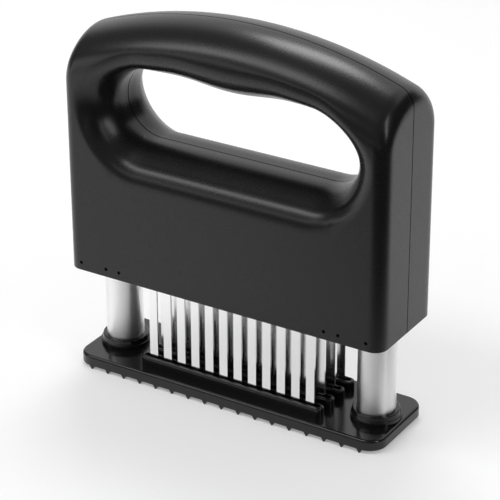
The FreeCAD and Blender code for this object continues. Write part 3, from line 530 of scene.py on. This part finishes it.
def makeShellSkin(side):  # rings of points from the grip's seam, over the outside and back; front is side -1
    loop = gripLoop()
    foot = numpy.stack([loop[:, 0], numpy.full(len(loop), shell["seamGap"] / 2), loop[:, 1]], -1)
    out = numpy.stack([loop[:, 2], numpy.zeros(len(loop)), loop[:, 3]], -1)

    def outer(x, depth, z):
        return numpy.maximum(outsideDistance(x, depth, z), shell["cutBelow"] - z)

    rim = march(foot + out * skin["start"], out, outer)
    core = (foot + rim) / 2
    turns = numpy.radians(numpy.linspace(180, 0, skin["profileSteps"]))
    ahead = numpy.array([0.0, 1.0, 0.0])
    ways = (numpy.cos(turns)[None, :, None] * out[:, None, :] + numpy.sin(turns)[None, :, None] * ahead)
    starts = numpy.repeat(core[:, None, :], skin["profileSteps"], 1)
    return march(starts, ways, lambda x, depth, z: shellDistance(x, depth * side, z))


def bodyFromSkin(name, grid, side, finish):  # closes the rings into a skin, cuts its foot and gives it a wall
    points = (grid * (1, side, 1) / 1000).reshape(-1, 3).tolist()
    around, along = grid.shape[:2]
    faces = []
    for i in range(around):
        here, there = i * along, (i + 1) % around * along
        for j in range(along - 1):
            face = (here + j, there + j, there + j + 1, here + j + 1)
            faces.append(face if side > 0 else face[::-1])
    mesh = bpy.data.meshes.new(name)
    mesh.from_pydata(points, [], faces)
    built = bmesh.new()
    built.from_mesh(mesh)
    everything = [*built.verts, *built.edges, *built.faces]
    foot = (0, 0, shell["bottom"] / 1000)
    bmesh.ops.bisect_plane(built, geom=everything, plane_co=foot, plane_no=(0, 0, 1), dist=1e-7,
                           clear_inner=True)
    built.to_mesh(mesh)
    built.free()
    piece = placePiece(name, mesh, finish)
    wall = piece.modifiers.new("wall", "SOLIDIFY")
    wall.thickness = shell["wall"] / 1000
    wall.offset = -1
    wall.use_even_offset = True
    return piece


def applied(piece):  # bakes the piece's modifiers into its mesh
    graph = bpy.context.evaluated_depsgraph_get()
    mesh = bpy.data.meshes.new_from_object(piece.evaluated_get(graph))
    piece.modifiers.clear()
    piece.data = mesh
    return mesh


holes = {"pinX": (47.9, 54.25, 66.45), "pinZ": 49.8, "pinRadius": 0.74,
         "screwAt": ((30.0, 82.0), (62.5, 136.5)), "screwRadius": 3.05, "drillReach": 30.0,
         "wellWall": 1.35, "wellSeat": 10.0, "wellEnd": 17.0, "around": 32}


def drillAll(piece, side, spots, radius):
    cutter = bmesh.new()
    reach = side * holes["drillReach"] / 1000
    for x, z in spots:
        rings = []
        for y in (min(reach, 0), max(reach, 0)):
            ring = []
            for step in range(holes["around"]):
                turn = 2 * math.pi * step / holes["around"]
                ring.append(cutter.verts.new(((x + radius * math.cos(turn)) / 1000, y,
                                              (z + radius * math.sin(turn)) / 1000)))
            rings.append(ring)
        for step in range(holes["around"]):
            after = (step + 1) % holes["around"]
            cutter.faces.new((rings[0][step], rings[0][after], rings[1][after], rings[1][step]))
        cutter.faces.new(rings[0])
        cutter.faces.new(rings[1])
    drill = bpy.data.objects.new("drill", meshFrom(cutter, "drill"))
    bpy.context.scene.collection.objects.link(drill)
    cut = piece.modifiers.new("cut", "BOOLEAN")
    cut.operation = "DIFFERENCE"
    cut.solver = "EXACT"
    cut.object = drill
    applied(piece)
    bpy.data.objects.remove(drill)


def addWells(piece, spots):  # round walls behind the screw holes, down to the screws' seats
    built = bmesh.new()
    built.from_mesh(piece.data)
    inner, outer = holes["screwRadius"], holes["screwRadius"] + holes["wellWall"]
    seat, end = holes["wellSeat"], holes["wellEnd"]
    section = ((inner, seat), (outer, seat), (outer, end), (inner, end))
    for x, z in spots:
        rings = []
        for step in range(holes["around"]):
            turn = 2 * math.pi * step / holes["around"]
            rings.append([built.verts.new(((x + radius * math.cos(turn)) / 1000, y / 1000,
                                           (z + radius * math.sin(turn)) / 1000)) for radius, y in section])
        for here, there in zip(rings, rings[1:] + rings[:1]):
            for low in range(len(section)):
                high = (low + 1) % len(section)
                built.faces.new((here[low], here[high], there[high], there[low]))
    built.to_mesh(piece.data)
    built.free()


def addShells():
    for name, node, side in (("frontShell", "front_shell", -1), ("rearShell", "rear_shell", 1)):
        piece = bodyFromSkin(name, makeShellSkin(side), side, handleBlack)
        seam = shell["seamGap"] / 2000
        for vertex in applied(piece).vertices:
            vertex.co.y = side * max(vertex.co.y * side, seam)
        if side < 0:
            spots = [(x * way, holes["pinZ"]) for x in holes["pinX"] for way in (-1, 1)]
            drillAll(piece, side, spots, holes["pinRadius"])
        else:
            spots = [(x * way, z) for x, z in holes["screwAt"] for way in (-1, 1)]
            drillAll(piece, side, spots, holes["screwRadius"])
            addWells(piece, spots)
        smoothShade(piece.data, shell["sharpAngle"])
        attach(piece, "handle")
        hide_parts(node)
        print(name, len(piece.data.polygons), "faces")


addShells()


# stage and light
floorTone = {"colour": 0.8, "lift": 0.25, "reach": 6}
skyTone = {"fill": 0.47, "ceiling": 0.18, "side": 0.2, "back": 0.56}
softboxes = {  # centre and what it faces in metres, width and depth, and how white the cloth is
    "stripBox": {"place": (-0.62, -0.46, 1.08), "aim": (-0.62, 0, 0.08), "size": (1.1, 0.26), "shine": 4.6},
    "backBox": {"place": (-0.22, 0.46, 1.08), "aim": (0, 0, 0.08), "size": (0.42, 0.34), "shine": 8.5},
    "cornerBox": {"place": (0.7, -0.155, 0.48), "aim": (0, 0, 0.1), "size": (0.09, 0.5), "shine": 6.0},
    "frontBox": {"place": (-0.454, -0.745, 0.635), "aim": (0, -0.018, 0.12), "size": (0.69, 0.18),
                 "shine": 1.2},
    "leftCard": {"place": (-0.749, -0.553, 0.273), "aim": (-0.037, -0.017, 0.148), "size": (0.25, 0.42),
                 "shine": 1.3},
}
flags = {  # dark cloth that only shiny faces see: one lies, starting softly along a line, and one stands
    "floorFlag": {"azimuth": -40, "start": 0.01, "full": 0.24, "reach": 1.2, "tone": 0.03},
    "wallFlag": {"azimuth": 8, "away": 0.9, "width": 3.6, "height": 0.85, "tone": 0.03},
}


def heading(azimuth):
    turn = math.radians(azimuth)
    return Vector((math.cos(turn), math.sin(turn), 0))


def addSoftbox(name, place, aim, size, shine):
    data = bpy.data.lights.new(name, "AREA")
    data.shape = "RECTANGLE"
    data.size, data.size_y = size
    data.energy = shine * math.pi * size[0] * size[1]
    lamp = bpy.data.objects.new(name, data)
    bpy.context.scene.collection.objects.link(lamp)
    lamp.location = place
    lamp.rotation_mode = "QUATERNION"
    lamp.rotation_quaternion = (Vector(aim) - Vector(place)).to_track_quat("-Z", "Y")
    lamp.visible_camera = False


def seenWhite(g):  # 1 for what the eye, a shiny face or clear plastic sees, 0 for the light that falls
    eye = g.add("ShaderNodeLightPath", {}, {}, "Is Camera Ray")
    shiny = g.add("ShaderNodeLightPath", {}, {}, "Is Glossy Ray")
    clear = g.add("ShaderNodeLightPath", {}, {}, "Is Transmission Ray")
    return (eye + shiny + clear).clamp()


def stageSheet(name, corners, finish):
    mesh = bpy.data.meshes.new(name)
    mesh.from_pydata(corners, [], [(0, 1, 2, 3)])
    sheet = placePiece(name, mesh, finish)
    return sheet


def setFloor():
    g = newFinish("floorPaper")
    lift = g.mix(seenWhite(g), grey(0), grey(floorTone["lift"]))
    paper = g.finish(Base_Color=grey(floorTone["colour"]), Roughness=0.9, Emission_Color=lift,
                     Emission_Strength=1.0, Specular_IOR_Level=0.0)
    far = floorTone["reach"]
    stageSheet("floor", [(-far, -far, 0), (far, -far, 0), (far, far, 0), (-far, far, 0)], paper)


def setFlags():
    low = flags["floorFlag"]
    ahead, side = heading(low["azimuth"]), heading(low["azimuth"] + 90)
    g = newFinish("softFlag")
    east, north = (g.add("ShaderNodeSeparateXYZ", {}, [g.place()], output) for output in (0, 1))
    distance = east * ahead.x + north * ahead.y
    cloth = g.finish(Base_Color=grey(low["tone"]), Roughness=1.0, Specular_IOR_Level=0.0,
                     Alpha=distance.ramp(low["start"], low["full"]))
    near, far = ahead * low["start"], ahead * low["reach"]
    across, lift = side * low["reach"], Vector((0, 0, 0.001))
    sheets = [stageSheet("floorFlag", [near - across + lift, far - across + lift, far + across + lift,
                                       near + across + lift], cloth)]
    wall = flags["wallFlag"]
    g = newFinish("wallFlag")
    cloth = g.finish(Base_Color=grey(0), Roughness=1.0, Specular_IOR_Level=0.0,
                     Emission_Color=grey(wall["tone"]), Emission_Strength=1.0)
    foot, side = heading(wall["azimuth"]) * wall["away"], heading(wall["azimuth"] + 90) * wall["width"] / 2
    top = Vector((0, 0, wall["height"]))
    corners = [foot - side, foot + side, foot + side + top, foot - side + top]
    sheets.append(stageSheet("wallFlag", corners, cloth))
    for sheet in sheets:
        sheet.visible_camera = False
        sheet.visible_diffuse = False
        sheet.visible_shadow = False
        sheet.visible_transmission = False


def setSky():
    world = bpy.data.worlds.new("studio")
    bpy.context.scene.world = world
    g = Graph(world, "Background")
    back = g.add("ShaderNodeSeparateXYZ", {}, [g.add("ShaderNodeTexCoord", {}, {}, "Generated")], 1)
    eye = g.add("ShaderNodeLightPath", {}, {}, "Is Camera Ray")
    backdrop = back.ramp(skyTone["side"], skyTone["back"])
    white = (backdrop + eye).clamp() * (1 - skyTone["ceiling"]) + skyTone["ceiling"]
    g.finish(Color=grey(1.0), Strength=seenWhite(g) * (white - skyTone["fill"]) + skyTone["fill"])


setFloor()
setFlags()
setSky()
for name, box in softboxes.items():
    addSoftbox(name, **box)
bpy.context.scene.view_settings.view_transform = "Standard"
print("stage set")
